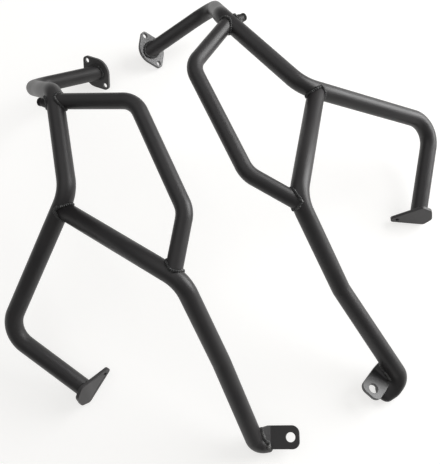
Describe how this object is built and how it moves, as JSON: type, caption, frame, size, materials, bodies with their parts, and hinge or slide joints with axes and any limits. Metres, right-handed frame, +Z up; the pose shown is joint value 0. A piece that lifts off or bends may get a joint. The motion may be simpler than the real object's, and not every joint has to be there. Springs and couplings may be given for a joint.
{
  "type": "motorcycle crash bars",
  "caption": "Pair of bent-tube engine crash bars with bolt flanges, pointed front plates, bracing loops and bent mounting tabs.",
  "frame": {"origin": "bottom centre of the pair's box, on the floor that both bars lie on", "axes": "+Z up from the floor; +X from the left bar towards the right bar; +Y towards the flanges"},
  "size_m": [0.6629, 0.7362, 0.2302],
  "materials": {
    "coated_steel": "satin black powder coat",
    "weld_bead": "satin black powder coat over a rippled weld",
    "rubber": "matte"
  },
  "bodies": {
    "root": {"left_main_tube": "coated_steel", "left_loop_tube": "coated_steel", "left_lower_tube": "coated_steel", "left_end_cap": "coated_steel", "left_flange": "coated_steel", "left_front_plate": "coated_steel", "left_tab": "coated_steel", "left_stop_boss": "coated_steel", "left_rubber_bung": "rubber", "left_flange_weld": "weld_bead", "left_front_weld": "weld_bead", "left_tab_weld": "weld_bead", "left_loop_upper_weld": "weld_bead", "left_loop_lower_weld": "weld_bead", "left_lower_weld": "weld_bead", "left_stop_weld": "weld_bead", "right_main_tube": "coated_steel", "right_loop_tube": "coated_steel", "right_lower_tube": "coated_steel", "right_end_cap": "coated_steel", "right_flange": "coated_steel", "right_front_plate": "coated_steel", "right_tab": "coated_steel", "right_stop_boss": "coated_steel", "right_rubber_bung": "rubber", "right_flange_weld": "weld_bead", "right_front_weld": "weld_bead", "right_tab_weld": "weld_bead", "right_loop_upper_weld": "weld_bead", "right_loop_lower_weld": "weld_bead", "right_lower_weld": "weld_bead", "right_stop_weld": "weld_bead"}
  },
  "joints": []
}
